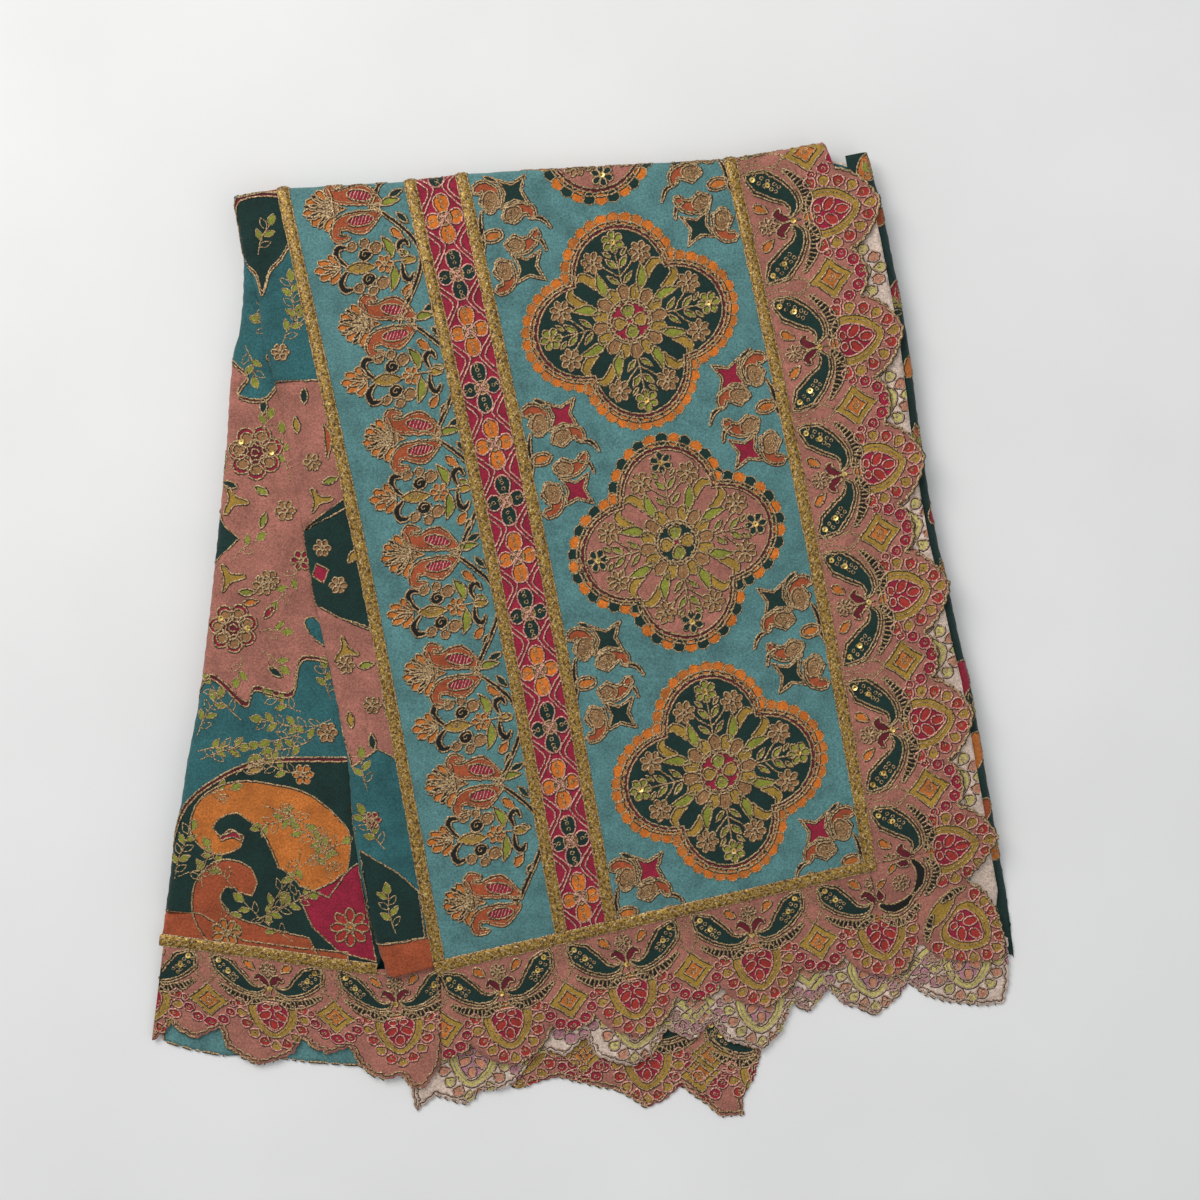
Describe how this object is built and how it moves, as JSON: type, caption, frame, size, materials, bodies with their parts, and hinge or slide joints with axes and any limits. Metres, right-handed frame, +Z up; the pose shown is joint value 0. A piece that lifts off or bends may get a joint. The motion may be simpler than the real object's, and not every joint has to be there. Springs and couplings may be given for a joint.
{
  "type": "dupatta",
  "caption": "Embroidered dupatta folded flat, its end panel of quatrefoils, flowering bands and gold tapes on top, with scalloped hems fanned out at one end.",
  "frame": {"origin": "on the floor, under the middle of the folded cloth's box", "axes": "+X to the right edge, +Y towards the folded top edge and away from the fanned hems, +Z up off the floor"},
  "size_m": [0.499, 0.5626, 0.0218],
  "materials": {
    "hidden_layers": "printed cloth seen edge on, matt",
    "print_cloth": "printed silk-blend cloth in teal, dark green and pink with gold thread outlines",
    "border_cloth": "dusty pink cloth with dense gold thread work and sequins",
    "teal_cloth": "muted teal cloth with gold thread outlines, soft sheen",
    "crimson_cloth": "crimson cloth with gold thread outlines, soft sheen",
    "reversed_cloth": "pale wrong side of the printed border",
    "gold_tape": "woven metallic tape, soft glints"
  },
  "bodies": {
    "root": {"folded_core": "hidden_layers", "right_fold": "print_cloth", "lower_hem": "border_cloth", "under_left": "teal_cloth", "reversed_hem_side": "reversed_cloth", "reversed_hem_front": "reversed_cloth", "left_panel": "print_cloth", "left_border": "border_cloth", "panel_strip": "print_cloth", "bush_band": "teal_cloth", "cross_band": "crimson_cloth", "medallion_band": "teal_cloth", "side_border": "border_cloth", "hem_border": "border_cloth", "corner_border": "border_cloth", "tape_strip": "gold_tape", "tape_bush": "gold_tape", "tape_cross": "gold_tape", "tape_side": "gold_tape", "tape_hem": "gold_tape", "tape_left_hem": "gold_tape"}
  },
  "joints": []
}
